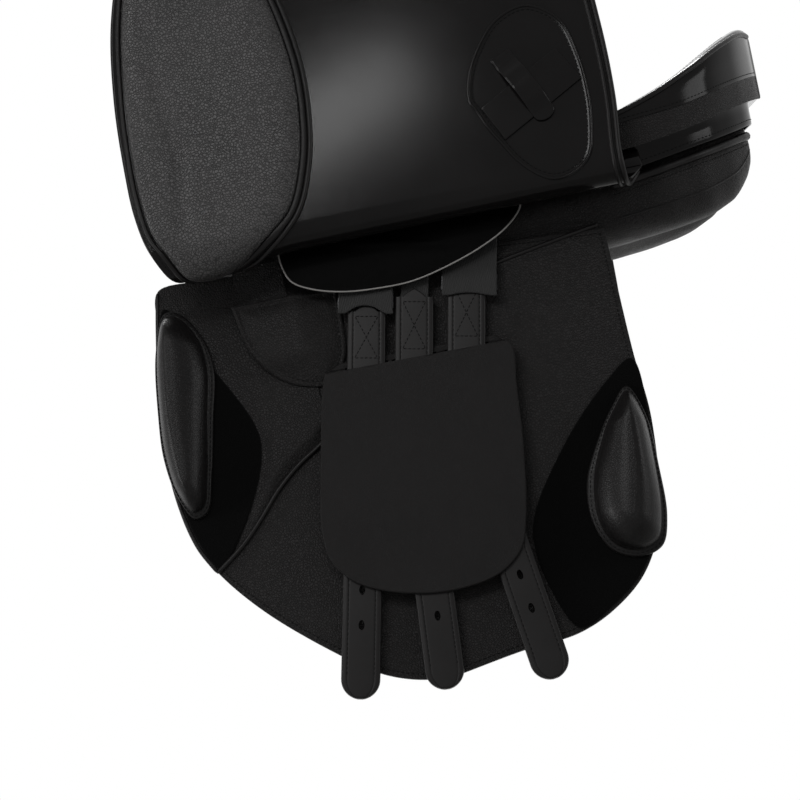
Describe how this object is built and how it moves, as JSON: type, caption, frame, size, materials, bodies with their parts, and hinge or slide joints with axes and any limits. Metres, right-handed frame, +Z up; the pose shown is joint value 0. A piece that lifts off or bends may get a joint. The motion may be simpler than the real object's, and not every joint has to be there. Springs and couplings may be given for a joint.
{
  "type": "jumping saddle",
  "caption": "English jumping saddle: padded seat on a tree, panels, lifting flaps, sweat flaps with blocks, and girth straps threaded through a buckle guard.",
  "frame": {"origin": "on the centre plane, level with the girth straps' tops, in line with the middle strap", "axes": "+X from the pommel to the cantle, +Z up, -Y the near (left) side of the horse"},
  "size_m": [0.4791, 0.5287, 0.6796],
  "materials": {
    "smooth_leather": "smooth black calf leather, semi-matt",
    "grained_leather": "printed fine-grain black leather, semi-matt",
    "loop_pile": "black hook-and-loop pile",
    "nylon_webbing": "black woven nylon",
    "moulded_tree": "moulded, matt",
    "stainless_steel": "brushed"
  },
  "bodies": {
    "saddle": {"seat": "smooth_leather", "cantle_facing": "smooth_leather", "flap_top_near": "smooth_leather", "flap_top_off": "smooth_leather", "safe_near": "smooth_leather", "safe_off": "smooth_leather", "panel_near": "grained_leather", "panel_off": "grained_leather", "sweat_flap_near": "grained_leather", "sweat_flap_off": "grained_leather", "point_pocket_near": "grained_leather", "point_pocket_off": "grained_leather", "front_loop_area_near": "loop_pile", "front_loop_area_off": "loop_pile", "rear_loop_area_near": "loop_pile", "rear_loop_area_off": "loop_pile", "front_web_near": "nylon_webbing", "front_web_off": "nylon_webbing", "middle_web_near": "nylon_webbing", "middle_web_off": "nylon_webbing", "rear_web_near": "nylon_webbing", "rear_web_off": "nylon_webbing", "tree": "moulded_tree", "head_plate": "stainless_steel", "seat_nail_near": "stainless_steel", "seat_nail_off": "stainless_steel", "stirrup_bar_near": "stainless_steel", "stirrup_bar_off": "stainless_steel"},
    "flap_near": {"flap_near": "smooth_leather", "flap_pad_near": "grained_leather", "keeper_near": "smooth_leather", "flap_fold_near": "smooth_leather"},
    "skirt_near": {"skirt_near": "smooth_leather"},
    "girth_near": {"front_girth_strap_near": "smooth_leather", "middle_girth_strap_near": "smooth_leather", "rear_girth_strap_near": "smooth_leather", "front_slide_near": "stainless_steel", "rear_slide_near": "stainless_steel"},
    "guard_near": {"buckle_guard_near": "grained_leather"},
    "knee_block_near": {"knee_block_near": "smooth_leather"},
    "thigh_block_near": {"thigh_block_near": "grained_leather"},
    "bar_catch_near": {"bar_catch_near": "stainless_steel"},
    "flap_off": {"flap_off": "smooth_leather", "flap_pad_off": "grained_leather", "keeper_off": "smooth_leather"},
    "skirt_off": {"skirt_off": "smooth_leather"},
    "girth_off": {"front_girth_strap_off": "smooth_leather", "middle_girth_strap_off": "smooth_leather", "rear_girth_strap_off": "smooth_leather", "front_slide_off": "stainless_steel", "rear_slide_off": "stainless_steel"},
    "guard_off": {"buckle_guard_off": "grained_leather"},
    "knee_block_off": {"knee_block_off": "smooth_leather"},
    "thigh_block_off": {"thigh_block_off": "grained_leather"},
    "bar_catch_off": {"bar_catch_off": "stainless_steel"}
  },
  "joints": [
    {"name": "flap_near_hinge", "type": "hinge", "parent": "saddle", "child": "flap_near", "pos_m": [0, -0.18, 0.065], "axis": [1, 0, 0], "range_deg": [0, 170], "deforming": ["flap_fold_near"]},
    {"name": "skirt_near_hinge", "type": "hinge", "parent": "saddle", "child": "skirt_near", "pos_m": [-0.14, -0.062, 0.104], "axis": [-0.9309, 0.3584, 0.07], "range_deg": [0, 60]},
    {"name": "girth_near_hinge", "type": "hinge", "parent": "saddle", "child": "girth_near", "pos_m": [0, -0.16004, 0.01913], "axis": [1, 0, 0], "range_deg": [-28, 0]},
    {"name": "guard_near_slide", "type": "slide", "parent": "girth_near", "child": "guard_near", "axis": [0.2062, 0.2582, 0.9438], "range_m": [-0.025, 0.015]},
    {"name": "knee_block_near_shift", "type": "slide", "parent": "saddle", "child": "knee_block_near", "axis": [0, 0.2639, 0.9646], "range_m": [-0.01, 0.01]},
    {"name": "thigh_block_near_shift", "type": "slide", "parent": "saddle", "child": "thigh_block_near", "axis": [0, 0.2639, 0.9646], "range_m": [-0.01, 0.01]},
    {"name": "bar_catch_near_hinge", "type": "hinge", "parent": "saddle", "child": "bar_catch_near", "pos_m": [-0.0197, -0.1278, 0.078], "axis": [0, 0, 1], "range_deg": [0, 62]},
    {"name": "flap_off_hinge", "type": "hinge", "parent": "saddle", "child": "flap_off", "pos_m": [0, 0.18, 0.065], "axis": [1, 0, 0], "range_deg": [0, 172]},
    {"name": "skirt_off_hinge", "type": "hinge", "parent": "saddle", "child": "skirt_off", "pos_m": [-0.14, 0.062, 0.104], "axis": [0.9309, 0.3584, -0.07], "range_deg": [0, 60]},
    {"name": "girth_off_hinge", "type": "hinge", "parent": "saddle", "child": "girth_off", "pos_m": [0, 0.16004, 0.01913], "axis": [1, 0, 0], "range_deg": [0, 6]},
    {"name": "guard_off_slide", "type": "slide", "parent": "girth_off", "child": "guard_off", "axis": [0.2062, -0.2582, 0.9438], "range_m": [-0.025, 0.015]},
    {"name": "knee_block_off_shift", "type": "slide", "parent": "saddle", "child": "knee_block_off", "axis": [0, -0.2639, 0.9646], "range_m": [-0.01, 0]},
    {"name": "thigh_block_off_shift", "type": "slide", "parent": "saddle", "child": "thigh_block_off", "axis": [0, -0.2639, 0.9646], "range_m": [-0.01, 0.01]},
    {"name": "bar_catch_off_hinge", "type": "hinge", "parent": "saddle", "child": "bar_catch_off", "pos_m": [-0.0197, 0.1278, 0.078], "axis": [0, 0, -1], "range_deg": [0, 62]}
  ]
}
